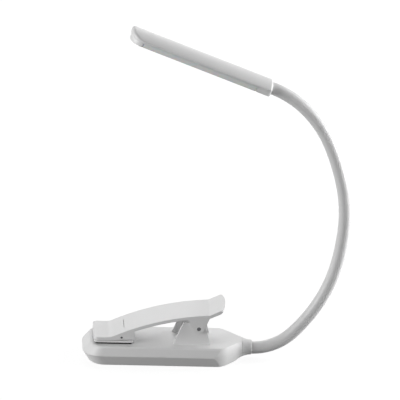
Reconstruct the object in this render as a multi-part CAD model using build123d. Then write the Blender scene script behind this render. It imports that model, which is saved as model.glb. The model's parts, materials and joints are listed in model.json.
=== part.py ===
"""Clip-on book light, in millimetres.

The origin is the centre of the flat underside that the light stands on. +Z is up, +X points
along the housing to the gooseneck, and -Y is the near side of the clip.
"""

from build123d import *
import os
from math import cos, hypot, pi, radians, sin, sqrt

os.makedirs("parts", exist_ok=True)

# Battery housing: a flat boat shape, widest at its parting plane
base_left = -36.9
nose_x = 43.6
base_width = 31.1
base_height = 10.0
parting_z = 5.4
end_corner_r = 9.4
upper_side_inset = 1.5
upper_end_inset = 3.2
lower_side_inset = 1.95
lower_end_inset = 3.2
rim = 0.7
foot_rim = 0.4
wall = 1.5
cavity_right = 31.0
cavity_corner_r = 4.0
lip_height = 0.6
lip_gap = 0.08
fit_gap = 0.05
press_gap = 0.02

# The housing's round right end, which runs into the collar
shoulder_x = 31.4
shoulder_r = 14.8
waist_x = 44.0
waist_r = 11.0
round_off = 0.4

# Screws that hold the two shells together
front_post_x = -28.6
front_post_y = 6.4
rear_post_x = 28.3
rear_post_y = 9.0
post_r = 2.3
screw_r = 0.85
screw_head_r = 1.7
screw_head_h = 1.1
screw_length = 6.8
screw_recess = 0.4
screw_drive_r = 0.7
screw_room = 0.1

# Inside the housing
cell_x = -13.4
cell_size = (24.0, 19.0, 5.2)
board_x0 = 1.4
board_x1 = 26.0
board_width = 17.0
board_t = 1.0
board_z = 4.0
board_corner_r = 0.8
board_post_r = 1.2
board_post_margin = 0.3
cell_edge_r = 1.2
switch_size = (6.0, 3.4, 3.0)
switch_stem = (2.4, 0.8, 1.4)
switch_gap = 0.1
socket_size = (8.9, 7.2, 3.2)
socket_x = 18.6
socket_gap = 0.2
socket_sunk = 0.1
socket_wall = 0.3
socket_back = 1.0
tongue_margin = 1.2
tongue_t = 0.7

# Power button on the far flank
button_x = 6.4
button_z = 7.5
button_length = 9.0
button_height = 2.8
button_proud = 0.6
button_travel = 0.5
button_gap = 0.15
button_edge_r = 0.4
button_flange = 1.2
button_flange_t = 0.9

# Clip pivot: two cheeks on the housing inside two ears on the lever
pivot_x = 21.1
pivot_z = 19.2
pin_r = 1.0
pin_recess = 0.5
cheek_t = 1.8
cheek_front_x = 8.4
cheek_back_x = 27.2
cheek_top_front = (13.4, 22.0)
cheek_top_back = (24.3, 20.9)
cheek_corner_r = 1.4
ear_r = 2.85
ear_point = 5.84
ear_front_x = 14.8
ear_back_x = 26.6
ear_lean = 0.5
ear_t = 1.6
ear_gap = 0.15
running_gap = 0.06

# Lever: an arched plate with a finger tab behind and a flat nose in front
lever_width = 21.3
lever_t = 1.6
lever_front_x = -31.6
arch_start_x = -23.2
arch_top = (2.5, 23.2)
arch_end = (26.2, 26.7)
tab_end = (34.2, 30.55)
tab_bow = 1.6
nose_bend_r = 6.0
tab_bend_r = 1.6
lever_corner_r = 2.4
tab_corner_r = 1.2
groove_x = -16.3
groove_length = 10.5
groove_width = 0.35
groove_depth = 0.35
skirt_t = 1.6
skirt_back_x = -11.3
skirt_back_z = 13.0

# Jaw foot: a shoe on a pin between the lever's front walls
foot_pin_x = -17.6
foot_pin_z = 13.75
foot_pin_r = 0.6
foot_lug_r = 0.95
foot_lug_width = 12.0
foot_plate_t = 1.0
foot_gap = 0.3
foot_inset = 0.3
foot_corner_r = 1.8
foot_lug_room = 0.35
foot_lug_end_gap = 0.4
foot_web_width = 1.5
pad_t = 0.65
pad_inset = 0.8
pad_rib_pitch = 2.0
pad_rib_width = 0.7
pad_rib_depth = 0.25
jaw_pad_depth = 0.6
jaw_clearance = 0.3

# Torsion spring round the pivot pin
wire_r = 0.45
coil_r = 2.5
coil_turns = 3
coil_pitch = 1.6
lower_leg_turn = 217.0
upper_leg_turn = 116.0
lower_leg = 8.7
upper_leg = 6.3
coil_step = 120.0

# Gooseneck: equal stretches of a smooth sleeve round a bendable core
neck_z = 5.75
neck_start_x = 48.6
link_length = 22.0
link_turns = (44.2, 18.4, 13.0, 13.8, 12.8, 13.2, 17.9, 25.6)
sleeve_r = 3.15
sleeve_bore_r = 1.95
core_r = 0.9
ball_gap = 0.1

# Collar where the gooseneck leaves the housing, and the crimp behind it
collar_r = 3.8
collar_chamfer = 0.4
collar_seat = 4.2
collar_stem_r = 2.4
collar_flange_r = 3.3
collar_flange_t = 1.2
collar_stem_back = 3.4
core_room = 0.3
crimp_r = 2.1
crimp_length = 4.6
core_tail = 0.8

# Head: a slim bar with a crowned top and a diffuser tray under it
head_length = 76.2
head_width = 15.4
head_crown = 6.0
head_edge = 3.3
head_bevel = 0.8
head_bevel_z = 3.1
head_skirt = 2.0
head_drop = 0.4
head_neck_v = 2.8
head_tip_r = 7.2
head_root_r = 1.2
head_edge_r = 1.3
head_sole_r = 0.5
head_wall = 1.7
head_block = 7.4
tip_block = 7.2
tray_end_gap = 0.1
tray_wall = 1.0
tray_rim_height = 1.0
tray_corner_r = 0.8
pocket_v = 3.9
pocket_corner_r = 1.0
led_board_width = 9.6
led_board_t = 0.8
led_board_gap = 0.3
led_board_end_gap = 1.5
led_size = (2.8, 3.5, 0.7)
led_count = 8
led_end_room = 1.9
head_screw_r = 0.6
head_screw_room = 0.1
head_screw_head_r = 1.1
head_screw_head_h = 0.5
head_screw_inset = 1.7
head_screw_bite = 1.6
head_screw_end_gap = 0.2
ferrule_length = 5.6

# Values worked out from the ones above
side_plane = Plane.XZ
cavity_top = base_height - wall
lever_half = lever_width / 2
cheek_middle = lever_half - ear_t - ear_gap - cheek_t / 2
foot_bottom_z = base_height + jaw_clearance + pad_t
foot_top_z = foot_bottom_z + foot_plate_t
lever_under = foot_top_z + foot_gap
lever_front_z = lever_under + lever_t
arch_start = (arch_start_x, lever_front_z)
foot_back_x = skirt_back_x - foot_inset
foot_front_x = lever_front_x + foot_inset


def write(name, shape):
    """Write one sub-part to its own STEP file."""
    export_step(shape, f"parts/{name}.step")


def bar(x0, x1, width, z0, z1):
    """A block centred on the XZ plane."""
    centre = Pos((x0 + x1) / 2, 0, (z0 + z1) / 2)
    return centre * Box(x1 - x0, width, z1 - z0)


def upright(x, y, z0, z1, radius):
    """A cylinder that stands between two heights."""
    return Pos(x, y, (z0 + z1) / 2) * Cylinder(radius, z1 - z0)


def across(x, z, radius, length):
    """A cylinder along Y, centred on the XZ plane."""
    return Pos(x, 0, z) * Rot(90, 0, 0) * Cylinder(radius, length)


def along_neck(x0, x1, radius):
    """A cylinder along X on the gooseneck's axis."""
    return Pos((x0 + x1) / 2, 0, neck_z) * Rot(0, 90, 0) * Cylinder(radius, x1 - x0)


# Battery housing


def hull_outline(side, end):
    """The housing's plan, drawn in by the given amounts at its sides and left end."""
    half = base_width / 2 - side
    left = base_left + end
    plan = Pos((left + neck_start_x) / 2, 0) * Rectangle(neck_start_x - left, 2 * half)
    left_corners = plan.vertices().filter_by(lambda v: v.X < left + 1)
    return fillet(left_corners, end_corner_r - end / 2)


def round_end():
    """The turned form that trims the housing's right end, so that it flows into the round collar."""
    outer = base_width / 2 + round_off
    start = base_left - 1
    outline = Polyline(
        (start, 0), (start, outer), (shoulder_x, outer), (waist_x, collar_r), (neck_start_x, collar_r),
        (neck_start_x, 0), close=True,
    )
    face = make_face(outline)
    shoulder = face.vertices().filter_by(lambda v: abs(v.X - shoulder_x) < 0.01)
    face = fillet(shoulder, shoulder_r)
    waist = face.vertices().filter_by(lambda v: abs(v.X - waist_x) < 0.01)
    face = fillet(waist, waist_r)
    return Pos(0, 0, neck_z) * revolve(side_plane * face, Axis.X, 360)


def hull():
    """The outside of the lower shell, the upper shell and the collar that carries on their form."""
    levels = [
        (0, lower_side_inset + foot_rim, lower_end_inset + foot_rim),
        (foot_rim, lower_side_inset, lower_end_inset),
        (parting_z, 0, 0),
        (base_height - rim, upper_side_inset, upper_end_inset),
        (base_height, upper_side_inset + rim, upper_end_inset + rim),
    ]
    bands = []
    for (z0, *low), (z1, *high) in zip(levels, levels[1:]):
        plans = [Pos(0, 0, z0) * hull_outline(*low), Pos(0, 0, z1) * hull_outline(*high)]
        bands.append(loft(plans, ruled=True))
    trim = round_end()
    shells = trim & bar(base_left - 1, nose_x, 2 * base_width, -1, base_height + 1)
    lower = (bands[0] + bands[1]) & shells
    upper = (bands[2] + bands[3]) & shells
    past_nose = bar(nose_x + fit_gap, neck_start_x, base_width, 0, base_height)
    return lower, upper, trim & past_nose


def cavity_plan(grow=0):
    """The plan of the housing's hollow, or of the lip round it when grown."""
    left = base_left + lower_end_inset + wall - grow
    right = cavity_right + grow
    half = base_width / 2 - lower_side_inset - wall + grow
    plan = Pos((left + right) / 2, 0) * Rectangle(right - left, 2 * half)
    return fillet(plan.vertices(), cavity_corner_r + grow)


def posts():
    """The places of the four shell screws."""
    return [
        (x, side * y)
        for x, y in ((front_post_x, front_post_y), (rear_post_x, rear_post_y))
        for side in (-1, 1)
    ]


lower_hull, upper_hull, collar_form = hull()
lip_rim = wall / 2
far_wall_y = base_width / 2 - lower_side_inset - wall
collar_back_x = nose_x - collar_stem_back
crimp_x1 = collar_back_x - fit_gap
crimp_x0 = crimp_x1 - crimp_length


def neck_seat():
    """The hollow in both shells that holds the collar's stem and the crimp."""
    seat = along_neck(collar_back_x, nose_x + 1, collar_stem_r + fit_gap)
    seat += along_neck(collar_back_x, collar_back_x + collar_flange_t, collar_flange_r + fit_gap)
    seat += along_neck(cavity_right - 1, collar_back_x, crimp_r + fit_gap)
    return seat


def flank_slot(x, z, length, height, y0, y1):
    """A slot with round ends through the far wall."""
    profile = Plane((x, y0, z), x_dir=(1, 0, 0), z_dir=(0, 1, 0)) * SlotOverall(length, height)
    return extrude(profile, y1 - y0)


def socket_opening():
    """The charging socket's hole through the far wall, shared by both shells."""
    length, depth, height = socket_size
    return flank_slot(
        socket_x, socket_z, length + 2 * socket_gap, height + 2 * socket_gap,
        far_wall_y - 1, base_width / 2 + 1,
    )


def cheek(side):
    """One pivot cheek, standing on the housing's top."""
    foot = base_height - rim / 2
    outline = Polyline(
        (cheek_front_x, foot), cheek_top_front, cheek_top_back, (cheek_back_x, foot), close=True
    )
    face = make_face(outline)
    face = fillet(face.vertices().sort_by(Axis.Y)[-2:], cheek_corner_r)
    return Pos(0, side * cheek_middle, 0) * extrude(side_plane * face, cheek_t / 2, both=True)


def base_upper_shell():
    """The upper shell with its cheeks, screw posts, pad recess and the far wall's two openings."""
    shell = upper_hull
    shell -= Pos(0, 0, parting_z) * extrude(cavity_plan(), cavity_top - parting_z)
    rebate = extrude(cavity_plan(lip_rim + lip_gap), lip_height + lip_gap)
    shell -= Pos(0, 0, parting_z) * rebate
    for x, y in posts():
        shell += upright(x, y, parting_z + fit_gap, cavity_top, post_r)
        shell -= upright(x, y, parting_z, cavity_top - fit_gap, screw_r + press_gap)
    for side in (-1, 1):
        shell += cheek(side)
    shell -= across(pivot_x, pivot_z, pin_r + press_gap, base_width)
    shell -= neck_seat()
    shell -= pad_recess()
    shell -= flank_slot(
        button_x, button_z, button_length + 2 * button_gap, button_height + 2 * button_gap,
        button_back_y - button_travel - button_gap, base_width / 2 + 1,
    )
    return shell - socket_opening()


def base_lower_shell():
    """The lower shell: flat underside, locating lip, screw posts and board posts."""
    shell = lower_hull
    shell -= Pos(0, 0, wall) * extrude(cavity_plan(), parting_z - wall)
    lip = extrude(cavity_plan(lip_rim), lip_height) - extrude(cavity_plan(), lip_height)
    shell += Pos(0, 0, parting_z) * lip
    for x, y in board_posts():
        shell += upright(x, y, wall, board_z, board_post_r)
    for x, y in posts():
        shell += upright(x, y, wall, parting_z, post_r)
        shell -= upright(x, y, 0, screw_recess + screw_head_h, screw_head_r + fit_gap)
        shell -= upright(x, y, 0, parting_z + 1, screw_r + screw_room)
    shell -= neck_seat()
    return shell - socket_opening()


def board_posts():
    """The places of the four posts that carry the main board."""
    inset = board_post_r + board_post_margin
    return [
        (x, side * (board_width / 2 - inset))
        for x in (board_x0 + inset, board_x1 - inset)
        for side in (-1, 1)
    ]


def shell_screws():
    """Four countersunk screws up through the lower shell."""
    screws = []
    for x, y in posts():
        head = upright(x, y, screw_recess, screw_recess + screw_head_h, screw_head_r)
        shank = upright(x, y, screw_recess + screw_head_h, screw_recess + screw_length, screw_r)
        drive = Pos(x, y, screw_recess) * extrude(RegularPolygon(screw_drive_r, 6), screw_head_h / 2)
        screws.append(head + shank - drive)
    return Compound(children=screws)


# Jaw pads


def pad_plan(x0, x1, width, corner):
    """A rectangle with round corners between two places along X."""
    plan = Pos((x0 + x1) / 2, 0) * Rectangle(x1 - x0, width)
    return fillet(plan.vertices(), corner)


def ribbed(pad, x0, x1, face_z, up):
    """Cut the cross grooves of a grip pad into its working face."""
    count = int((x1 - x0 - 2 * pad_rib_width) / pad_rib_pitch)
    first = (x0 + x1) / 2 - (count - 1) * pad_rib_pitch / 2
    z0 = face_z - pad_rib_depth if up else face_z
    for i in range(count):
        x = first + i * pad_rib_pitch
        pad -= bar(x - pad_rib_width / 2, x + pad_rib_width / 2, base_width, z0, z0 + pad_rib_depth)
    return pad


pad_x0 = foot_front_x + pad_inset
pad_x1 = foot_back_x - pad_inset
pad_width = lever_width - 2 * (foot_inset + pad_inset)
pad_corner = foot_corner_r - pad_inset


def pad_recess():
    """The shallow pocket in the housing's top for the lower jaw pad."""
    plan = pad_plan(pad_x0 - fit_gap, pad_x1 + fit_gap, pad_width + 2 * fit_gap, pad_corner + fit_gap)
    return Pos(0, 0, base_height - jaw_pad_depth) * extrude(plan, jaw_pad_depth + 1)


def base_jaw_pad():
    """The lower grip pad, flush with the housing's top."""
    pad = extrude(pad_plan(pad_x0, pad_x1, pad_width, pad_corner), jaw_pad_depth)
    pad = Pos(0, 0, base_height - jaw_pad_depth) * pad
    return ribbed(pad, pad_x0, pad_x1, base_height, True)


def foot_pad():
    """The upper grip pad under the jaw foot."""
    z0 = foot_bottom_z - pad_t
    pad = Pos(0, 0, z0) * extrude(pad_plan(pad_x0, pad_x1, pad_width, pad_corner), pad_t)
    return ribbed(pad, pad_x0, pad_x1, z0, False)


# Inside the housing

board_top = board_z + board_t
socket_z = board_top + socket_size[2] / 2
button_face_y = base_width / 2 - upper_side_inset / 2 + button_proud
button_back_y = far_wall_y - fit_gap - button_flange_t


def battery_cell():
    """A flat pouch cell lying on the lower shell's floor."""
    length, width, height = cell_size
    cell = Pos(cell_x, 0, wall + height / 2) * Box(length, width, height)
    return fillet(cell.edges().filter_by(Axis.Y), cell_edge_r)


def main_board():
    """The board on its four posts."""
    board = bar(board_x0, board_x1, board_width, board_z, board_top)
    return fillet(board.edges().filter_by(Axis.Z), board_corner_r)


def key_switch():
    """The side-acting key switch on the board behind the button."""
    length, depth, height = switch_size
    stem_width, stem_out, stem_height = switch_stem
    plunger_y = button_back_y - button_travel - switch_gap
    front_y = plunger_y - stem_out
    body = Pos(button_x, front_y - depth / 2, board_top + height / 2) * Box(length, depth, height)
    stem = Pos(button_x, front_y + stem_out / 2, button_z) * Box(stem_width, stem_out, stem_height)
    return body + stem


def charge_socket():
    """The charging socket: a flattened tube with its tongue, opening through the far wall."""
    length, depth, height = socket_size
    mouth_y = base_width / 2 - upper_side_inset - socket_sunk
    back_y = mouth_y - depth
    shell = flank_slot(socket_x, socket_z, length, height, back_y, mouth_y)
    inner_length, inner_height = length - 2 * socket_wall, height - 2 * socket_wall
    shell -= flank_slot(socket_x, socket_z, inner_length, inner_height, back_y + socket_back, mouth_y)
    tongue_depth = depth - tongue_margin
    tongue = Box(length - 2 * tongue_margin, tongue_depth, tongue_t)
    return shell + Pos(socket_x, back_y + tongue_depth / 2, socket_z) * tongue


def power_button():
    """The button cap: a crowned oval that slides in the far wall, with a flange behind it."""
    cap = flank_slot(button_x, button_z, button_length, button_height, button_back_y, button_face_y)
    cap = fillet(cap.faces().sort_by(Axis.Y)[-1].edges(), button_edge_r)
    flange_height = 2 * (cavity_top - 2 * fit_gap - button_z)
    flange_y = button_back_y + button_flange_t / 2
    flange = Box(button_length + 2 * button_flange, button_flange_t, flange_height)
    return cap + Pos(button_x, flange_y, button_z) * flange


# Clip lever


def lever_profile():
    """The plate's side view: flat nose, long arch and a tab flared up behind."""
    front = Line((lever_front_x, lever_front_z), arch_start)
    arch = ThreePointArc(arch_start, arch_top, arch_end)
    line = Wire([front, arch, Line(arch_end, tab_end)])
    nose_bend, tab_bend = line.vertices().sort_by(Axis.X)[1:3]
    line = line.fillet_2d(nose_bend_r, [nose_bend])
    tab_bend = line.vertices().sort_by_distance((*arch_end, 0))[0]
    line = line.fillet_2d(tab_bend_r, [tab_bend])
    return make_face(offset(line, amount=lever_t, side=Side.RIGHT, closed=True))


def lever_plan():
    """The plate's plan: square front with round corners, rear edge bowed out."""
    rear_x = tab_end[0] - tab_bow
    outline = Wire(
        [
            Line((lever_front_x, -lever_half), (rear_x, -lever_half)),
            ThreePointArc((rear_x, -lever_half), (tab_end[0], 0), (rear_x, lever_half)),
            Line((rear_x, lever_half), (lever_front_x, lever_half)),
            Line((lever_front_x, lever_half), (lever_front_x, -lever_half)),
        ]
    )
    plan = make_face(outline)
    fronts = plan.vertices().filter_by(lambda v: v.X < lever_front_x + 1)
    plan = fillet(fronts, lever_corner_r)
    rears = plan.vertices().filter_by(lambda v: abs(v.X - rear_x) < 0.1)
    return fillet(rears, tab_corner_r)


def arch_height(x):
    """The height of the plate's top over a point of the arch."""
    arch = ThreePointArc(arch_start, arch_top, arch_end)
    centre = arch.arc_center
    return centre.Y + sqrt(arch.radius**2 - (x - centre.X) ** 2)


def clip_lever():
    """Arched plate, two ears on the pivot pin, and two front walls that carry the foot's pin."""
    plate = extrude(side_plane * lever_profile(), lever_half, both=True)
    plate &= extrude(lever_plan(), 2 * tab_end[1])
    sink = lever_t / 2
    ear = make_face(
        Polyline(
            (ear_front_x, arch_height(ear_front_x) - sink),
            (ear_back_x, arch_height(ear_back_x) - sink),
            (pivot_x + ear_lean, pivot_z - ear_point),
            close=True,
        )
    )
    ear = fillet(ear.vertices().sort_by(Axis.Y)[0], ear_r)
    wall_face = make_face(
        Polyline(
            (arch_start[0], lever_under),
            (skirt_back_x, skirt_back_z),
            (skirt_back_x, arch_height(skirt_back_x) - sink),
            (foot_pin_x, arch_height(foot_pin_x) - sink),
            (arch_start[0], lever_front_z - sink),
            close=True,
        )
    )
    for side in (-1, 1):
        place = Pos(0, side * (lever_half - ear_t / 2), 0)
        plate += place * extrude(side_plane * ear, ear_t / 2, both=True)
        place = Pos(0, side * (lever_half - skirt_t / 2), 0)
        plate += place * extrude(side_plane * wall_face, skirt_t / 2, both=True)
    plate -= across(pivot_x, pivot_z, pin_r + running_gap, base_width)
    plate -= across(foot_pin_x, foot_pin_z, foot_pin_r + press_gap, base_width)
    lug_room = foot_lug_width + 2 * foot_lug_end_gap
    plate -= across(foot_pin_x, foot_pin_z, foot_lug_r + foot_lug_room, lug_room)
    groove_z = arch_height(groove_x)
    groove = Pos(groove_x, 0, groove_z) * Box(groove_width, groove_length, 2 * groove_depth)
    return plate - groove


def pivot_pin():
    """The steel pin through ears and cheeks, sunk a little at both ends."""
    return across(pivot_x, pivot_z, pin_r, lever_width - 2 * pin_recess)


def foot_pin():
    """The small pin through the lever's front walls and the foot's lug."""
    return across(foot_pin_x, foot_pin_z, foot_pin_r, lever_width - 2 * pin_recess)


def jaw_foot():
    """The swivelling shoe: a thin plate with a lug round its pin."""
    plan = pad_plan(foot_front_x, foot_back_x, lever_width - 2 * foot_inset, foot_corner_r)
    shoe = Pos(0, 0, foot_bottom_z) * extrude(plan, foot_plate_t)
    shoe += across(foot_pin_x, foot_pin_z, foot_lug_r, foot_lug_width)
    shoe += bar(
        foot_pin_x - foot_web_width / 2, foot_pin_x + foot_web_width / 2, foot_lug_width,
        foot_top_z, foot_pin_z,
    )
    return shoe - across(foot_pin_x, foot_pin_z, foot_pin_r + running_gap, base_width)


# Torsion spring


def biarc(p0, t0, p1, t1):
    """Two arcs that leave p0 along t0, meet smoothly and reach p1 along t1."""
    v = p1 - p0
    t = t0 + t1
    a = 2 * (1 - t0.dot(t1))
    b = 2 * v.dot(t)
    d = (-b + sqrt(b * b + 4 * a * v.dot(v))) / (2 * a)
    q0 = p0 + t0 * d
    q1 = p1 - t1 * d
    middle = (q0 + q1) * 0.5
    return [
        Edge.make_tangent_arc(p0, t0, middle),
        Edge.make_tangent_arc(p1, t1 * -1, middle),
    ]


coil_sweep = 360 * coil_turns + lower_leg_turn - upper_leg_turn


def coil_point(wound):
    """A point on the coil's helix, and its direction there, by the degrees wound from its start."""
    a = radians(lower_leg_turn - wound)
    rise = coil_pitch / (2 * pi)
    y = rise * radians(wound - coil_sweep / 2)
    step = hypot(coil_r, rise)
    direction = Vector(coil_r * sin(a) / step, rise / step, -coil_r * cos(a) / step)
    return Vector(pivot_x + coil_r * cos(a), y, pivot_z + coil_r * sin(a)), direction


def clip_spring():
    """One wire: a leg on the housing, the coil round the pin, and a leg under the tab."""
    steps = round(coil_sweep / coil_step)
    stops = [coil_sweep * i / steps for i in range(steps + 1)]
    edges = []
    for a, b in zip(stops, stops[1:]):
        (p0, t0), (p1, t1) = coil_point(a), coil_point(b)
        edges += biarc(p0, t0, p1, t1)
    (p0, t0), (p1, t1) = coil_point(stops[0]), coil_point(stops[-1])
    lower = Edge.make_line(p0 - t0 * lower_leg, p0)
    upper = Edge.make_line(p1, p1 + t1 * upper_leg)
    path = Wire([lower, *edges, upper])
    section = Plane(origin=path @ 0, z_dir=path % 0) * Circle(wire_r)
    gap = coil_pitch * coil_r / hypot(coil_r, coil_pitch / (2 * pi)) - 2 * wire_r
    print("spring: least gap between turns", round(gap, 3), "mm")
    return sweep(section, path)


# Gooseneck


def neck_stations():
    """Where each stretch starts: x, z and heading, turning left all the way."""
    x, z, heading = neck_start_x, neck_z, 0.0
    stations = [(x, z, heading)]
    for turn in link_turns:
        radius = link_length / radians(turn)
        x += radius * (sin(radians(heading + turn)) - sin(radians(heading)))
        z += radius * (cos(radians(heading)) - cos(radians(heading + turn)))
        heading += turn
        stations.append((x, z, heading))
    return stations


stations = neck_stations()


def station_plane(station):
    """A plane across the neck, facing along it."""
    x, z, heading = station
    ahead = (cos(radians(heading)), 0, sin(radians(heading)))
    return Plane(origin=(x, 0, z), x_dir=(0, 1, 0), z_dir=ahead)


def bent(section, index):
    """A section carried along one stretch of the neck."""
    x, z, heading = stations[index]
    turn = link_turns[index]
    radius = link_length / radians(turn)
    centre = (x - radius * sin(radians(heading)), 0, z + radius * cos(radians(heading)))
    return revolve(station_plane(stations[index]) * section, Axis(centre, (0, -1, 0)), turn)


def ball_end(station, outer, inner):
    """The round start of a stretch, which turns in the hollow end of the one before."""
    back = sqrt(outer**2 - inner**2)
    outline = Wire(
        [
            Line((inner, 0), (outer, 0)),
            ThreePointArc((outer, 0), sphere_point(outer, inner, back), (inner, -back)),
            Line((inner, -back), (inner, 0)),
        ]
    )
    ball = revolve(Plane.XZ * make_face(outline), Axis.Z, 360)
    return station_plane(station).location * ball


def sphere_point(outer, inner, back):
    """The point halfway round the rim of a pierced ball."""
    middle = (outer + inner) / 2
    depth = back / 2
    scale = outer / hypot(middle, depth)
    return (middle * scale, -depth * scale)


def hollow_end(shape, station, radius):
    """Cut the cup that the next stretch's ball turns in."""
    x, z, heading = station
    return shape - Pos(x, 0, z) * Sphere(radius + ball_gap)


def neck_sleeve(index):
    """One stretch of the smooth outer sleeve."""
    ring = Circle(sleeve_r) - Circle(sleeve_bore_r)
    sleeve = bent(ring, index)
    if index == 0:
        tail = station_plane(stations[0]) * ring
        sleeve += extrude(tail, -collar_seat)
    else:
        sleeve += ball_end(stations[index], sleeve_r, sleeve_bore_r)
    if index < len(link_turns) - 1:
        sleeve = hollow_end(sleeve, stations[index + 1], sleeve_r)
    return sleeve


def neck_core(index):
    """One stretch of the bendable core inside the sleeve."""
    disc = Circle(core_r)
    core = bent(disc, index)
    if index == 0:
        tail = station_plane(stations[0]) * disc
        core += extrude(tail, crimp_x0 + core_tail - neck_start_x)
    else:
        core += ball_end(stations[index], core_r, 0)
    if index < len(link_turns) - 1:
        return hollow_end(core, stations[index + 1], core_r)
    tail = station_plane(stations[-1]) * disc
    return core + extrude(tail, ferrule_length - core_tail)


def neck_collar():
    """The collar that the sleeve plugs into, with its stem and flange between the shells."""
    body = chamfer(collar_form.faces().sort_by(Axis.X)[-1].edges(), collar_chamfer)
    body += along_neck(collar_back_x + fit_gap, nose_x + 2 * fit_gap, collar_stem_r)
    body += along_neck(
        collar_back_x + fit_gap, collar_back_x + collar_flange_t - fit_gap, collar_flange_r
    )
    body -= along_neck(neck_start_x - collar_seat - fit_gap, neck_start_x + 1, sleeve_r + fit_gap)
    return body - along_neck(collar_back_x - 1, neck_start_x, core_r + core_room)


def neck_anchor():
    """The crimp on the core's end, which pulls against the collar's flange."""
    crimp = along_neck(crimp_x0, crimp_x1, crimp_r)
    return crimp - along_neck(crimp_x0 - 1, crimp_x1 + 1, core_r + press_gap)


# Head


def head_frame():
    """The head's own plane: x from the neck to the tip, z up from its flat underside."""
    x, z, heading = stations[-1]
    ahead = Vector(cos(radians(heading)), 0, sin(radians(heading)))
    up = Vector(sin(radians(heading)), 0, -cos(radians(heading)))
    origin = Vector(x, 0, z) - up * head_neck_v
    return Plane(origin=origin, x_dir=ahead, z_dir=up)


head_plane = head_frame()


def in_head(shape):
    """Carry a piece from the head's own frame to its place."""
    return head_plane.location * shape


def head_plan(side=0):
    """The head's plan with a round tip, drawn in at its sides and tip."""
    end = head_length - side
    plan = Pos(end / 2, 0) * Rectangle(end, head_width - 2 * side)
    tips = plan.vertices().filter_by(lambda v: v.X > end - 1)
    plan = fillet(tips, head_tip_r - side)
    roots = plan.vertices().filter_by(lambda v: v.X < 1)
    return fillet(roots, head_root_r)


def in_tray(inset, corner, z0, z1):
    """A block with round corners over the tray's stretch of the head, drawn in all round."""
    plan = pad_plan(head_block + inset, tray_tip - inset, 2 * (tray_half - inset), corner)
    return Pos(0, 0, z0) * extrude(plan, z1 - z0)


def along_head(x0, x1, radius):
    """A cylinder along the head, on the neck's line."""
    return Pos((x0 + x1) / 2, 0, head_neck_v) * Rot(0, 90, 0) * Cylinder(radius, x1 - x0)


tray_tip = head_length - tip_block
tray_half = head_width / 2 - head_bevel
pocket_inset = head_wall - head_bevel
led_board_x0 = head_block + pocket_inset + led_board_end_gap
led_board_x1 = tray_tip - pocket_inset - led_board_end_gap
led_board_top = pocket_v - led_board_gap
led_board_under = led_board_top - led_board_t
head_screw_places = (led_board_x0 + head_screw_inset, led_board_x1 - head_screw_inset)


def head_body():
    """The head's whole outside: a bevelled bar under a crowned top."""
    half = head_width / 2
    body = Pos(0, 0, -head_drop) * extrude(head_plan(head_bevel), head_drop + head_skirt)
    body = fillet(body.faces().sort_by(Axis.Z)[0].edges(), head_sole_r)
    lip = Pos(0, 0, head_skirt) * head_plan(head_bevel)
    body += loft([lip, Pos(0, 0, head_bevel_z) * head_plan()], ruled=True)
    crowned = make_face(
        Wire(
            [
                Line((-half, head_bevel_z), (half, head_bevel_z)),
                Line((half, head_bevel_z), (half, head_edge)),
                ThreePointArc((half, head_edge), (0, head_crown), (-half, head_edge)),
                Line((-half, head_edge), (-half, head_bevel_z)),
            ]
        )
    )
    top = extrude(Plane.YZ * crowned, head_length) & extrude(head_plan(), head_crown + 1)
    top = fillet(top.faces().sort_by(Axis.Z)[-1].edges(), head_edge_r)
    return body + top


def head_shell():
    """The crowned top shell: a block at each end, and between them the pocket over the tray."""
    shell = head_body()
    shell -= bar(head_block, tray_tip, head_width + 2, -head_drop - 1, head_skirt)
    shell -= in_tray(pocket_inset, pocket_corner_r, head_skirt - 1, pocket_v)
    shell -= along_head(-1, head_block - head_wall, crimp_r + fit_gap)
    for x in head_screw_places:
        shell -= upright(x, 0, pocket_v - 1, pocket_v + head_screw_bite, head_screw_r + press_gap)
    return in_head(shell)


def diffuser():
    """The opal tray under the shell, with a rim that plugs into the shell's pocket."""
    tray = in_tray(tray_end_gap, tray_corner_r, -head_drop, head_skirt - fit_gap)
    tray = fillet(tray.faces().sort_by(Axis.Z)[0].edges(), head_sole_r)
    rim_inset = pocket_inset + fit_gap
    tray += in_tray(rim_inset, pocket_corner_r, 0, head_skirt + tray_rim_height)
    hollow_inset = rim_inset + tray_wall
    tray -= in_tray(hollow_inset, pocket_corner_r, tray_wall - head_drop, head_crown)
    return in_head(tray)


def led_board():
    """The narrow board with a screw near each end."""
    board = bar(led_board_x0, led_board_x1, led_board_width, led_board_under, led_board_top)
    for x in head_screw_places:
        board -= upright(x, 0, led_board_under - 1, led_board_top + 1, head_screw_r + head_screw_room)
    return in_head(board)


def leds():
    """A row of LEDs on the board's underside, spread evenly between its screws."""
    length, width, height = led_size
    first = head_screw_places[0] + head_screw_head_r + led_end_room
    last = head_screw_places[1] - head_screw_head_r - led_end_room
    pitch = (last - first) / (led_count - 1)
    z = led_board_under - height / 2
    row = [Pos(first + i * pitch, 0, z) * Box(length, width, height) for i in range(led_count)]
    return in_head(Compound(children=row))


def head_screws():
    """Two small screws that hold the board to the shell."""
    screws = []
    for x in head_screw_places:
        head = upright(x, 0, led_board_under - head_screw_head_h, led_board_under, head_screw_head_r)
        tip = pocket_v + head_screw_bite - head_screw_end_gap
        screws.append(head + upright(x, 0, led_board_under, tip, head_screw_r))
    return in_head(Compound(children=screws))


def head_ferrule():
    """The crimp on the core's far end, seated in the head's block."""
    tube = along_head(0, ferrule_length, crimp_r)
    return in_head(tube - along_head(-1, ferrule_length + 1, core_r + press_gap))


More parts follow.
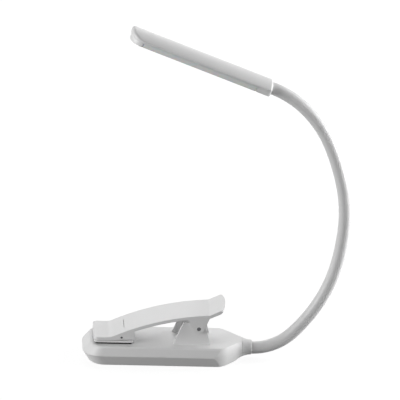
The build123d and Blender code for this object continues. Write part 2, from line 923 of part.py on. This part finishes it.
write("base_upper_shell", base_upper_shell())
write("base_lower_shell", base_lower_shell())
write("shell_screws", shell_screws())
write("base_jaw_pad", base_jaw_pad())
write("battery_cell", battery_cell())
write("main_board", main_board())
write("key_switch", key_switch())
write("charge_socket", charge_socket())
write("power_button", power_button())
write("clip_lever", clip_lever())
write("pivot_pin", pivot_pin())
write("clip_spring", clip_spring())
write("jaw_foot", jaw_foot())
write("foot_pin", foot_pin())
write("foot_pad", foot_pad())
write("neck_collar", neck_collar())
write("neck_anchor", neck_anchor())
for number in range(len(link_turns)):
    write(f"neck_sleeve_{number + 1}", neck_sleeve(number))
    write(f"neck_core_{number + 1}", neck_core(number))
write("head_shell", head_shell())
write("diffuser", diffuser())
write("led_board", led_board())
write("leds", leds())
write("head_screws", head_screws())
write("head_ferrule", head_ferrule())
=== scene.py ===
"""The looks of a white clip-on book light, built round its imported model.

Sizes are in metres. +Z is up, +X runs along the housing to the gooseneck and -Y is the near side.
"""

import json
import math

import bmesh
import bpy
from mathutils import Matrix, Vector

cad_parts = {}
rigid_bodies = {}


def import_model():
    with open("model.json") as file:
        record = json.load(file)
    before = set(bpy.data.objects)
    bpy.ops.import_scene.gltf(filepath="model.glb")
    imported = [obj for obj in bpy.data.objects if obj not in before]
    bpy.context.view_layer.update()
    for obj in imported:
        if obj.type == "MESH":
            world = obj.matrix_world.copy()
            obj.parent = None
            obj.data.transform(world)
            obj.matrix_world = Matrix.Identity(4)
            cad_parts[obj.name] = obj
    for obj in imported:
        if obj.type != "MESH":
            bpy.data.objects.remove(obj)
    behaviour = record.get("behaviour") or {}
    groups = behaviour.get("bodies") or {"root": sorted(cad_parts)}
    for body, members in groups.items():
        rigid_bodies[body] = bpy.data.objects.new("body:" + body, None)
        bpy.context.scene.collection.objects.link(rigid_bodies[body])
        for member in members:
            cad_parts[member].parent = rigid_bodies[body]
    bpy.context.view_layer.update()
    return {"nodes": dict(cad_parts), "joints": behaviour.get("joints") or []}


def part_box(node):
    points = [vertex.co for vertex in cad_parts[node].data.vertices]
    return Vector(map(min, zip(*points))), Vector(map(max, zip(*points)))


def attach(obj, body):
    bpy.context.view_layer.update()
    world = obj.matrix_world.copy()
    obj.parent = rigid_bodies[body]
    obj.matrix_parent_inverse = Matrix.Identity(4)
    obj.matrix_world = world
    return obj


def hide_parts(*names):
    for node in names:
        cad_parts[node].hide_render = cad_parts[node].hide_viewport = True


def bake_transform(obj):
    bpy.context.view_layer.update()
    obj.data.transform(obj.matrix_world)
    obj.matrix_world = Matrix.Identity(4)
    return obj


bl_info = {
    "name": "Clip-on Book Light",
    "version": (1, 0, 0),
    "blender": (4, 5, 0),
    "location": "View3D > Sidebar > Book Light",
    "description": "Dresses the packed model of a clip-on book light",
    "category": "Object",
}

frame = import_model()
nodes = frame["nodes"]
joints = {joint["name"]: joint for joint in frame["joints"]}
neck_joints = [joint for joint in frame["joints"] if joint["name"].startswith("neck_")]


# Shader node helpers


def set_inputs(node, values):
    """Set a node's own sockets by name, where an underscore stands for a space."""
    for name, value in values.items():
        node.inputs[name.replace("_", " ")].default_value = value


def add_node(tree, kind, place, **values):
    """A node at a place in its tree, with some of its input sockets set."""
    node = tree.nodes.new(kind)
    node.location = place
    set_inputs(node, values)
    return node


def new_group(name, inputs, outputs):
    """An empty shader node group with its sockets."""
    group = bpy.data.node_groups.new(name, "ShaderNodeTree")
    for label, kind, value in inputs:
        socket = group.interface.new_socket(label, in_out="INPUT", socket_type=kind)
        socket.default_value = value
    for label, kind in outputs:
        group.interface.new_socket(label, in_out="OUTPUT", socket_type=kind)
    start = group.nodes.new("NodeGroupInput")
    start.location = (-900, 0)
    end = group.nodes.new("NodeGroupOutput")
    end.location = (500, 0)
    return group, start, end


def moulded_grain_group():
    """The fine spark-eroded grain of moulded plastic, with a faint drift in tone and gloss."""
    group, start, end = new_group(
        "Moulded Grain",
        [
            ("Colour", "NodeSocketColor", (0.8, 0.8, 0.8, 1.0)),
            ("Roughness", "NodeSocketFloat", 0.4),
            ("Grain Scale", "NodeSocketFloat", 6000.0),
            ("Tone Drift", "NodeSocketFloat", 0.015),
            ("Gloss Drift", "NodeSocketFloat", 0.05),
        ],
        [
            ("Colour", "NodeSocketColor"),
            ("Roughness", "NodeSocketFloat"),
            ("Height", "NodeSocketFloat"),
        ],
    )
    drift_scale = 45.0
    noise_middle = 0.5
    links = group.links
    coords = add_node(group, "ShaderNodeTexCoord", (-900, -300))
    grain = add_node(group, "ShaderNodeTexNoise", (-600, -300), Detail=2.0, Roughness=0.6)
    links.new(coords.outputs["Object"], grain.inputs["Vector"])
    links.new(start.outputs["Grain Scale"], grain.inputs["Scale"])
    links.new(grain.outputs["Fac"], end.inputs["Height"])
    drift = add_node(group, "ShaderNodeTexNoise", (-600, 0), Scale=drift_scale, Detail=3.0)
    links.new(coords.outputs["Object"], drift.inputs["Vector"])
    centred = add_node(group, "ShaderNodeMath", (-400, 0))
    centred.operation = "SUBTRACT"
    centred.inputs[1].default_value = noise_middle
    links.new(drift.outputs["Fac"], centred.inputs[0])
    tone = add_node(group, "ShaderNodeMath", (-200, 150))
    tone.operation = "MULTIPLY_ADD"
    tone.inputs[2].default_value = 1.0
    links.new(centred.outputs[0], tone.inputs[0])
    links.new(start.outputs["Tone Drift"], tone.inputs[1])
    tinted = add_node(group, "ShaderNodeVectorMath", (0, 150))
    tinted.operation = "SCALE"
    links.new(start.outputs["Colour"], tinted.inputs[0])
    links.new(tone.outputs[0], tinted.inputs["Scale"])
    links.new(tinted.outputs[0], end.inputs["Colour"])
    gloss = add_node(group, "ShaderNodeMath", (-200, -100))
    gloss.operation = "MULTIPLY_ADD"
    links.new(centred.outputs[0], gloss.inputs[0])
    links.new(start.outputs["Gloss Drift"], gloss.inputs[1])
    links.new(start.outputs["Roughness"], gloss.inputs[2])
    links.new(gloss.outputs[0], end.inputs["Roughness"])
    return group


def principled(name, **constants):
    """A new material, its tree and its shader, with some of the shader's own sockets set."""
    material = bpy.data.materials.new(name)
    material.use_nodes = True
    tree = material.node_tree
    shader = tree.nodes["Principled BSDF"]
    set_inputs(shader, constants)
    return material, tree, shader


def grained_plastic(name, colour, roughness, grain_scale, grain_depth, tone_drift=0.015, **constants):
    """Moulded plastic or rubber: the shared grain in colour, gloss and bump, with softened edges."""
    edge_radius = 0.0003
    material, tree, shader = principled(name, **constants)
    group = tree.nodes.new("ShaderNodeGroup")
    group.node_tree = bpy.data.node_groups.get("Moulded Grain") or moulded_grain_group()
    group.location = (-600, 0)
    group.inputs["Colour"].default_value = (*colour, 1.0)
    group.inputs["Roughness"].default_value = roughness
    group.inputs["Grain Scale"].default_value = grain_scale
    group.inputs["Tone Drift"].default_value = tone_drift
    bump = add_node(tree, "ShaderNodeBump", (-300, -250), Strength=0.35, Distance=grain_depth)
    softened = add_node(tree, "ShaderNodeBevel", (-600, -350), Radius=edge_radius)
    softened.samples = 4
    links = tree.links
    links.new(softened.outputs["Normal"], bump.inputs["Normal"])
    links.new(group.outputs["Colour"], shader.inputs["Base Color"])
    links.new(group.outputs["Roughness"], shader.inputs["Roughness"])
    links.new(group.outputs["Height"], bump.inputs["Height"])
    links.new(bump.outputs["Normal"], shader.inputs["Normal"])
    return material


def drawn_metal(name, colour, roughness, squeeze):
    """Turned or drawn metal with fine streaks, squeezed together along the axes with large numbers."""
    streak_scale = 900.0
    dark_streak_share = 0.8
    smoothest = roughness - 0.08
    roughest = roughness + 0.1
    material, tree, shader = principled(name, Metallic=1.0)
    links = tree.links
    coords = add_node(tree, "ShaderNodeTexCoord", (-1000, 0))
    mapping = add_node(tree, "ShaderNodeMapping", (-800, 0))
    mapping.inputs["Scale"].default_value = squeeze
    streaks = add_node(tree, "ShaderNodeTexNoise", (-600, 0), Scale=streak_scale, Detail=4.0)
    ramp = add_node(tree, "ShaderNodeValToRGB", (-400, 100))
    ramp.color_ramp.elements[0].color = (*[dark_streak_share * part for part in colour], 1.0)
    ramp.color_ramp.elements[1].color = (*colour, 1.0)
    rough = add_node(tree, "ShaderNodeMapRange", (-400, -200), To_Min=smoothest, To_Max=roughest)
    links.new(coords.outputs["Object"], mapping.inputs["Vector"])
    links.new(mapping.outputs["Vector"], streaks.inputs["Vector"])
    links.new(streaks.outputs["Fac"], ramp.inputs["Fac"])
    links.new(streaks.outputs["Fac"], rough.inputs["Value"])
    links.new(ramp.outputs["Color"], shader.inputs["Base Color"])
    links.new(rough.outputs["Result"], shader.inputs["Roughness"])
    return material


# Geometry helpers


def geometry_tree(name, inputs):
    """A geometry node tree with named inputs and its start and end nodes."""
    tree = bpy.data.node_groups.new(name, "GeometryNodeTree")
    tree.interface.new_socket("Geometry", in_out="INPUT", socket_type="NodeSocketGeometry")
    for label, kind, value in inputs:
        socket = tree.interface.new_socket(label, in_out="INPUT", socket_type=kind)
        if value is not None:
            socket.default_value = value
    tree.interface.new_socket("Geometry", in_out="OUTPUT", socket_type="NodeSocketGeometry")
    return tree, tree.nodes.new("NodeGroupInput"), tree.nodes.new("NodeGroupOutput")


def swept_tube_tree():
    """A round tube along the object's own curve, with its ends closed."""
    tree, start, end = geometry_tree(
        "Swept Tube",
        [
            ("Radius", "NodeSocketFloat", 0.001),
            ("Sides", "NodeSocketInt", 32),
            ("Material", "NodeSocketMaterial", None),
        ],
    )
    circle = tree.nodes.new("GeometryNodeCurvePrimitiveCircle")
    sweep = tree.nodes.new("GeometryNodeCurveToMesh")
    sweep.inputs["Fill Caps"].default_value = True
    smooth = tree.nodes.new("GeometryNodeSetShadeSmooth")
    realize = tree.nodes.new("GeometryNodeRealizeInstances")
    finish = tree.nodes.new("GeometryNodeSetMaterial")
    links = tree.links
    links.new(start.outputs["Radius"], circle.inputs["Radius"])
    links.new(start.outputs["Sides"], circle.inputs["Resolution"])
    links.new(start.outputs["Geometry"], sweep.inputs["Curve"])
    links.new(circle.outputs["Curve"], sweep.inputs["Profile Curve"])
    links.new(sweep.outputs["Mesh"], smooth.inputs["Geometry"])
    links.new(smooth.outputs["Geometry"], realize.inputs["Geometry"])
    links.new(realize.outputs["Geometry"], finish.inputs["Geometry"])
    links.new(start.outputs["Material"], finish.inputs["Material"])
    links.new(finish.outputs["Geometry"], end.inputs["Geometry"])
    return tree


def socket_id(tree, label):
    """The identifier of a tree's input, which a modifier's value is set by."""
    for item in tree.interface.items_tree:
        if item.item_type == "SOCKET" and item.in_out == "INPUT" and item.name == label:
            return item.identifier
    raise RuntimeError(f"the tree has no input named {label}")


def baked(carrier, tree, values, name, material):
    """The plain mesh that a node tree makes of a carrier, as a new object."""
    modifier = carrier.modifiers.new(tree.name, "NODES")
    modifier.node_group = tree
    for label, value in values.items():
        modifier[socket_id(tree, label)] = value
    modifier[socket_id(tree, "Material")] = material
    bpy.context.view_layer.update()
    graph = bpy.context.evaluated_depsgraph_get()
    mesh = bpy.data.meshes.new_from_object(carrier.evaluated_get(graph))
    carrier.modifiers.remove(modifier)
    bpy.data.objects.remove(carrier)
    mesh.name = name
    piece = bpy.data.objects.new(name, mesh)
    bpy.context.scene.collection.objects.link(piece)
    return piece


def curve_carrier(name, points):
    """A curve object with one straight-sided spline through the points."""
    curve = bpy.data.curves.new(name, "CURVE")
    curve.dimensions = "3D"
    spline = curve.splines.new("POLY")
    spline.points.add(len(points) - 1)
    for spot, point in zip(spline.points, points):
        spot.co = (*point, 1.0)
    carrier = bpy.data.objects.new(name, curve)
    bpy.context.scene.collection.objects.link(carrier)
    return carrier


def swept(name, points, radius, sides, material):
    """A closed round tube along a list of points."""
    tree = bpy.data.node_groups.get("Swept Tube") or swept_tube_tree()
    values = {"Radius": radius, "Sides": sides}
    return baked(curve_carrier(name + "_path", points), tree, values, name, material)


def paint(material, *names):
    """Give CAD nodes their finished material."""
    for name in names:
        mesh = nodes[name].data
        mesh.materials.clear()
        mesh.materials.append(material)


# The gooseneck's path, read from its joints


def arc_points(start, heading, end, steps):
    """Points on the arc that leaves start along heading and ends at end, and its last heading."""
    chord = end - start
    half_turn = math.atan2(chord.z, chord.x) - heading
    half_turn = (half_turn + math.pi) % (2 * math.pi) - math.pi
    points = []
    for i in range(steps + 1):
        share = i / steps
        reach = chord.length * math.sin(half_turn * share) / math.sin(half_turn)
        angle = heading + half_turn * share
        points.append(start + Vector((math.cos(angle), 0, math.sin(angle))) * reach)
    return points, heading + 2 * half_turn


def neck_path(sizes, steps):
    """The sleeve's middle from the collar's mouth to the head, with the same steps in each stretch."""
    low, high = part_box("neck_collar")
    mouth = Vector((high.x, 0, (low.z + high.z) / 2))
    stations = [mouth] + [Vector(joint["pos_m"]) for joint in neck_joints]
    path, heading = [], 0.0
    for start, end in zip(stations, stations[1:]):
        points, heading = arc_points(start, heading, end, steps)
        path += points[:-1]
    chord = 2 * sizes.link_length / sizes.last_turn * math.sin(sizes.last_turn / 2)
    middle = heading + sizes.last_turn / 2
    head_end = stations[-1] + Vector((math.cos(middle), 0, math.sin(middle))) * chord
    points, heading = arc_points(stations[-1], heading, head_end, steps)
    return path + points


class NeckSizes(bpy.types.PropertyGroup):
    """Sizes of the gooseneck's sleeve."""

    thickness: bpy.props.FloatProperty(
        name="Thickness", description="Outer diameter of the sleeve", default=0.0063,
        unit="LENGTH",
    )
    last_turn: bpy.props.FloatProperty(
        name="Last Turn", description="How far the last stretch turns", default=math.radians(25.6),
        subtype="ANGLE",
    )
    link_length: bpy.props.FloatProperty(
        name="Stretch", description="Length of each stretch along its middle", default=0.022,
        unit="LENGTH",
    )
    sides: bpy.props.IntProperty(name="Sides", description="Faces round the sleeve", default=40)


class SpringSizes(bpy.types.PropertyGroup):
    """Sizes of the torsion spring round the pivot pin."""

    wire: bpy.props.FloatProperty(
        name="Wire", description="Diameter of the wire", default=0.0009, unit="LENGTH",
    )
    coil_radius: bpy.props.FloatProperty(
        name="Coil Radius", description="From the pin's axis to the wire's middle", default=0.0025,
        unit="LENGTH",
    )
    turns: bpy.props.IntProperty(name="Turns", description="Whole turns of the coil", default=3)
    pitch: bpy.props.FloatProperty(
        name="Pitch", description="Distance between neighbouring turns", default=0.0016,
        unit="LENGTH",
    )
    lower_leg_turn: bpy.props.FloatProperty(
        name="Lower Leg Turn", description="Where the coil starts, round the pin",
        default=math.radians(217), subtype="ANGLE",
    )
    upper_leg_turn: bpy.props.FloatProperty(
        name="Upper Leg Turn", description="Where the coil ends, round the pin",
        default=math.radians(116), subtype="ANGLE",
    )
    lower_leg: bpy.props.FloatProperty(
        name="Lower Leg", description="Length of the leg on the housing", default=0.0087,
        unit="LENGTH",
    )
    upper_leg: bpy.props.FloatProperty(
        name="Upper Leg", description="Length of the leg under the tab", default=0.0063,
        unit="LENGTH",
    )


class Colours(bpy.types.PropertyGroup):
    """Colours of the plastics."""

    housing: bpy.props.FloatVectorProperty(
        name="Housing", description="White of the moulded shells", default=(0.80, 0.80, 0.80),
        subtype="COLOR",
    )
    sleeve: bpy.props.FloatVectorProperty(
        name="Sleeve", description="White of the soft sleeve", default=(0.76, 0.76, 0.76),
        subtype="COLOR",
    )
    pads: bpy.props.FloatVectorProperty(
        name="Pads", description="Dark grey of the grip pads", default=(0.03, 0.03, 0.032),
        subtype="COLOR",
    )


class BOOKLIGHT_OT_shells(bpy.types.Operator):
    """Finish the moulded shells, the lever, the foot, the head and the button"""

    bl_idname = "booklight.shells"
    bl_label = "Moulded Shells"

    def execute(self, context):
        white = grained_plastic(
            "satin_white_plastic", context.scene.booklight_colours.housing,
            roughness=0.38, grain_scale=5200.0, grain_depth=0.00003, Specular_IOR_Level=0.45,
        )
        paint(
            white,
            "base_upper_shell", "base_lower_shell", "clip_lever", "jaw_foot", "head_shell",
            "power_button", "neck_collar",
        )
        return {"FINISHED"}


class BOOKLIGHT_OT_pads(bpy.types.Operator):
    """Finish the two rubber grip pads"""

    bl_idname = "booklight.pads"
    bl_label = "Grip Pads"

    def execute(self, context):
        rubber = grained_plastic(
            "matt_grip_rubber", context.scene.booklight_colours.pads,
            roughness=0.75, grain_scale=3000.0, grain_depth=0.00005, tone_drift=0.2, Specular_IOR_Level=0.3,
        )
        paint(rubber, "base_jaw_pad", "foot_pad")
        return {"FINISHED"}


class BOOKLIGHT_OT_gooseneck(bpy.types.Operator):
    """Build the smooth sleeve, one length over each joint, each meeting the next without a break"""

    bl_idname = "booklight.gooseneck"
    bl_label = "Gooseneck"

    def execute(self, context):
        sizes = context.scene.booklight_neck
        material = grained_plastic(
            "soft_white_sleeve", context.scene.booklight_colours.sleeve,
            roughness=0.42, grain_scale=2600.0, grain_depth=0.00002, Specular_IOR_Level=0.5,
        )
        steps = 24
        path = neck_path(sizes, steps)
        bodies = [neck_joints[0]["parent"]] + [joint["child"] for joint in neck_joints]
        cuts = [0] + [steps // 2 + steps * i for i in range(len(bodies))] + [len(path) - 1]
        sink = Vector((0.002, 0, 0))
        for i, (a, b) in enumerate(zip(cuts, cuts[1:])):
            run = path[a:b + 1]
            if i == 0:
                run = [path[0] - sink] + run
            piece = swept(f"sleeve_{i + 1}", run, sizes.thickness / 2, sizes.sides, material)
            if i == 0 or i == len(bodies):
                body = bodies[0] if i == 0 else bodies[-1]
                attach(piece, body)
            else:
                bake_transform(piece)
            covered = [number for number in (i, i + 1) if 1 <= number <= len(bodies)]
            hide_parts(*[f"neck_sleeve_{number}" for number in covered])
        return {"FINISHED"}


class BOOKLIGHT_OT_spring(bpy.types.Operator):
    """Wind the torsion spring, its lower leg held by the housing and its upper leg by the lever"""

    bl_idname = "booklight.spring"
    bl_label = "Torsion Spring"

    def execute(self, context):
        sizes = context.scene.booklight_spring
        wire = drawn_metal("spring_wire", (0.48, 0.48, 0.5), roughness=0.28, squeeze=(6.0, 1.0, 6.0))
        wire_sides = 14
        steps_per_turn = 24
        pivot = Vector(joints["lever_pivot"]["pos_m"])
        wound = 2 * math.pi * sizes.turns + sizes.lower_leg_turn - sizes.upper_leg_turn
        steps = steps_per_turn * (sizes.turns + 1)
        points = [coil_point(sizes, pivot, wound, wound * i / steps) for i in range(steps + 1)]
        lower = (points[0] - points[1]).normalized() * sizes.lower_leg
        upper = (points[-1] - points[-2]).normalized() * sizes.upper_leg
        path = [points[0] + lower] + points + [points[-1] + upper]
        spring = swept("torsion_spring", path, sizes.wire / 2, wire_sides, wire)
        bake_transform(spring)
        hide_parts("clip_spring")
        return {"FINISHED"}


def coil_point(sizes, pivot, wound, turn):
    """A point on the coil, by how far it has been wound from the lower leg."""
    angle = sizes.lower_leg_turn - turn
    side = sizes.pitch * (turn - wound / 2) / (2 * math.pi)
    return pivot + Vector(
        (sizes.coil_radius * math.cos(angle), side, sizes.coil_radius * math.sin(angle))
    )


class BOOKLIGHT_OT_metals(bpy.types.Operator):
    """Finish the pins, the core and the crimps"""

    bl_idname = "booklight.metals"
    bl_label = "Metal Pieces"

    def execute(self, context):
        across_y = (1.0, 12.0, 1.0)
        across_x = (12.0, 1.0, 1.0)
        steel = drawn_metal("plated_steel", (0.55, 0.55, 0.56), roughness=0.32, squeeze=across_y)
        core = drawn_metal("annealed_core", (0.5, 0.5, 0.51), roughness=0.4, squeeze=(6.0, 6.0, 1.0))
        dark = drawn_metal("darkened_pin", (0.15, 0.15, 0.155), roughness=0.42, squeeze=across_y)
        brass = drawn_metal("crimped_brass", (0.68, 0.52, 0.26), roughness=0.35, squeeze=across_x)
        paint(steel, "shell_screws", "head_screws", "charge_socket")
        paint(dark, "pivot_pin", "foot_pin")
        paint(core, *[f"neck_core_{i}" for i in range(1, len(neck_joints) + 2)])
        paint(brass, "neck_anchor", "head_ferrule")
        return {"FINISHED"}


class BOOKLIGHT_OT_electrics(bpy.types.Operator):
    """Finish the diffuser, the LEDs, the boards, the cell and the switch"""

    bl_idname = "booklight.electrics"
    bl_label = "Electrics"

    def execute(self, context):
        opal = grained_plastic(
            "opal_diffuser", (0.84, 0.84, 0.83), roughness=0.3, grain_scale=2000.0, grain_depth=0.00001,
            Subsurface_Weight=0.35, Subsurface_Scale=0.002,
        )
        paint(opal, "diffuser")
        mask = grained_plastic(
            "green_solder_mask", (0.02, 0.16, 0.07), roughness=0.3, grain_scale=1500.0,
            grain_depth=0.00002, tone_drift=0.3,
        )
        paint(mask, "main_board", "led_board")
        phosphor = grained_plastic(
            "led_phosphor", (0.85, 0.72, 0.32), roughness=0.2, grain_scale=3000.0, grain_depth=0.00001
        )
        paint(phosphor, "leds")
        foil = grained_plastic(
            "cell_foil", (0.6, 0.6, 0.62), roughness=0.35, grain_scale=900.0, grain_depth=0.00008,
            Metallic=0.8,
        )
        paint(foil, "battery_cell")
        black = grained_plastic(
            "switch_black", (0.02, 0.02, 0.02), roughness=0.45, grain_scale=4000.0, grain_depth=0.00002
        )
        paint(black, "key_switch")
        return {"FINISHED"}


class BOOKLIGHT_OT_stage(bpy.types.Operator):
    """Lay the floor, hang the lamps and set the camera where the photograph was taken from"""

    bl_idname = "booklight.stage"
    bl_label = "Stage"

    def execute(self, context):
        scene = context.scene
        lay_floor(scene)
        light_world(scene)
        lamp("right_low", (0.7, 0.0, 0.1), size=0.3, power=4.8)
        lamp("right_back", (0.6, 0.25, 0.32), size=0.4, power=1.7)
        lamp("left_low", (-0.7, 0.0, 0.1), size=0.3, power=0.57)
        lamp("left_front", (-0.6, -0.3, 0.2), size=0.3, power=2.9)
        lamp("front", (0.0, -0.8, 0.45), size=0.5, power=0.6)
        lamp("top_back", (0.0, 0.5, 0.6), size=0.6, power=2.0)
        lamp("back_low", (0.0, 0.7, 0.15), size=0.4, power=0.67)
        camera = bpy.data.objects.new("camera", bpy.data.cameras.new("camera"))
        scene.collection.objects.link(camera)
        scene.camera = camera
        aim_camera(camera, scene.booklight_view)
        scene.view_settings.view_transform = "Standard"
        return {"FINISHED"}


def lay_floor(scene):
    """The floor that the light stands on."""
    mesh = bpy.data.meshes.new("studio_floor")
    bm = bmesh.new()
    bmesh.ops.create_grid(bm, x_segments=1, y_segments=1, size=3.0)
    bm.to_mesh(mesh)
    bm.free()
    floor = bpy.data.objects.new("studio_floor", mesh)
    scene.collection.objects.link(floor)
    mesh.materials.append(pale_floor())


def light_world(scene):
    """A world that is pure white where the camera sees it, and lights the object only faintly."""
    light, seen = 0.16, 1.0
    world = bpy.data.worlds.new("studio_world")
    scene.world = world
    world.use_nodes = True
    tree = world.node_tree
    back = tree.nodes["Background"]
    back.inputs["Color"].default_value = (1, 1, 1, 1)
    path = add_node(tree, "ShaderNodeLightPath", (-700, 0))
    strength = add_node(tree, "ShaderNodeMapRange", (-400, 0), To_Min=light, To_Max=seen)
    tree.links.new(path.outputs["Is Camera Ray"], strength.inputs["Value"])
    tree.links.new(strength.outputs["Result"], back.inputs["Strength"])


def pale_floor():
    """A white floor that keeps a faint shadow, and throws far less light back up than it shows."""
    thrown_back = 0.08
    shown = 0.95
    glow_strength = 1.08
    glow_share = 0.82
    material, tree, shader = principled("pale_floor", Roughness=0.9, Specular_IOR_Level=0.0)
    links = tree.links
    path = add_node(tree, "ShaderNodeLightPath", (-700, 200))
    seen = add_node(tree, "ShaderNodeMath", (-500, 200))
    seen.operation = "MAXIMUM"
    links.new(path.outputs["Is Camera Ray"], seen.inputs[0])
    links.new(path.outputs["Is Glossy Ray"], seen.inputs[1])
    tone = add_node(tree, "ShaderNodeMix", (-300, 200))
    tone.data_type = "RGBA"
    tone.inputs["A"].default_value = (thrown_back, thrown_back, thrown_back, 1.0)
    tone.inputs["B"].default_value = (shown, shown, shown, 1.0)
    links.new(seen.outputs[0], tone.inputs["Factor"])
    links.new(tone.outputs["Result"], shader.inputs["Base Color"])
    glow = add_node(tree, "ShaderNodeEmission", (-300, -200), Strength=glow_strength)
    share = add_node(tree, "ShaderNodeMath", (-300, 0))
    share.operation = "MULTIPLY"
    share.inputs[1].default_value = glow_share
    links.new(seen.outputs[0], share.inputs[0])
    mix = add_node(tree, "ShaderNodeMixShader", (300, 0))
    links.new(share.outputs[0], mix.inputs["Fac"])
    links.new(shader.outputs["BSDF"], mix.inputs[1])
    links.new(glow.outputs["Emission"], mix.inputs[2])
    output = tree.nodes["Material Output"]
    links.new(mix.outputs["Shader"], output.inputs["Surface"])
    return material


class ViewSizes(bpy.types.PropertyGroup):
    """Where the photograph was taken from."""

    azimuth: bpy.props.FloatProperty(
        name="Azimuth", description="Turn of the camera round the light",
        default=math.radians(-3.2), subtype="ANGLE",
    )
    elevation: bpy.props.FloatProperty(
        name="Elevation", description="Height of the camera above the horizon",
        default=math.radians(22.0), subtype="ANGLE",
    )
    roll: bpy.props.FloatProperty(
        name="Roll", description="Lean of the camera about its own axis",
        default=math.radians(2.46), subtype="ANGLE",
    )
    distance: bpy.props.FloatProperty(
        name="Distance", description="From the camera to the aim point", default=4.0, unit="LENGTH",
    )
    pixels_per_metre: bpy.props.FloatProperty(
        name="Scale", description="Pixels of the photograph per metre at the aim point", default=2000.0,
    )
    aim: bpy.props.FloatVectorProperty(
        name="Aim", description="Point that the photograph's centre looks at",
        default=(0.01935, 0.0, 0.08497), subtype="XYZ_LENGTH",
    )


def aim_camera(camera, view):
    """Place the camera by its angles, with a lens that gives the photograph's scale."""
    photo_width_px = 400
    sensor_mm = 36.0
    flat = math.cos(view.elevation)
    back = Vector(
        (math.sin(view.azimuth) * flat, -math.cos(view.azimuth) * flat, math.sin(view.elevation))
    )
    camera.rotation_mode = "QUATERNION"
    camera.location = Vector(view.aim) + back * view.distance
    turn = (-back).to_track_quat("-Z", "Y")
    camera.rotation_quaternion = turn @ Matrix.Rotation(view.roll, 4, "Z").to_quaternion()
    seen_width = photo_width_px / view.pixels_per_metre
    camera.data.sensor_width = sensor_mm
    camera.data.lens = sensor_mm * view.distance / seen_width
    camera.data.clip_start = 0.01
    camera.data.clip_end = 20


def lamp(name, place, size, power):
    """A square soft lamp that faces the middle of the book light."""
    aim = Vector((0.02, 0, 0.06))
    data = bpy.data.lights.new(name, "AREA")
    data.shape = "SQUARE"
    data.size = size
    data.energy = power
    lit = bpy.data.objects.new(name, data)
    bpy.context.scene.collection.objects.link(lit)
    lit.location = place
    lit.rotation_mode = "QUATERNION"
    lit.rotation_quaternion = (aim - Vector(place)).to_track_quat("-Z", "Y")


steps_in_order = (
    BOOKLIGHT_OT_shells,
    BOOKLIGHT_OT_pads,
    BOOKLIGHT_OT_gooseneck,
    BOOKLIGHT_OT_spring,
    BOOKLIGHT_OT_metals,
    BOOKLIGHT_OT_electrics,
    BOOKLIGHT_OT_stage,
)


class BOOKLIGHT_PT_panel(bpy.types.Panel):
    """The steps that dress the book light, in order"""

    bl_idname = "BOOKLIGHT_PT_panel"
    bl_label = "Book Light"
    bl_space_type = "VIEW_3D"
    bl_region_type = "UI"
    bl_category = "Book Light"

    def draw(self, context):
        for group in groups:
            values = getattr(context.scene, group)
            box = self.layout.box()
            for name in values.__annotations__:
                box.prop(values, name)
        for step in steps_in_order:
            self.layout.operator(step.bl_idname)


groups = {
    "booklight_neck": NeckSizes,
    "booklight_spring": SpringSizes,
    "booklight_colours": Colours,
    "booklight_view": ViewSizes,
}


def register():
    for group in groups.values():
        bpy.utils.register_class(group)
    for step in steps_in_order:
        bpy.utils.register_class(step)
    bpy.utils.register_class(BOOKLIGHT_PT_panel)
    for name, group in groups.items():
        setattr(bpy.types.Scene, name, bpy.props.PointerProperty(type=group))


def unregister():
    for name in groups:
        delattr(bpy.types.Scene, name)
    bpy.utils.unregister_class(BOOKLIGHT_PT_panel)
    for step in reversed(steps_in_order):
        bpy.utils.unregister_class(step)
    for group in groups.values():
        bpy.utils.unregister_class(group)


def main():
    register()
    for step in steps_in_order:
        family, name = step.bl_idname.split(".")
        getattr(getattr(bpy.ops, family), name)()


if __name__ == "__main__":
    main()
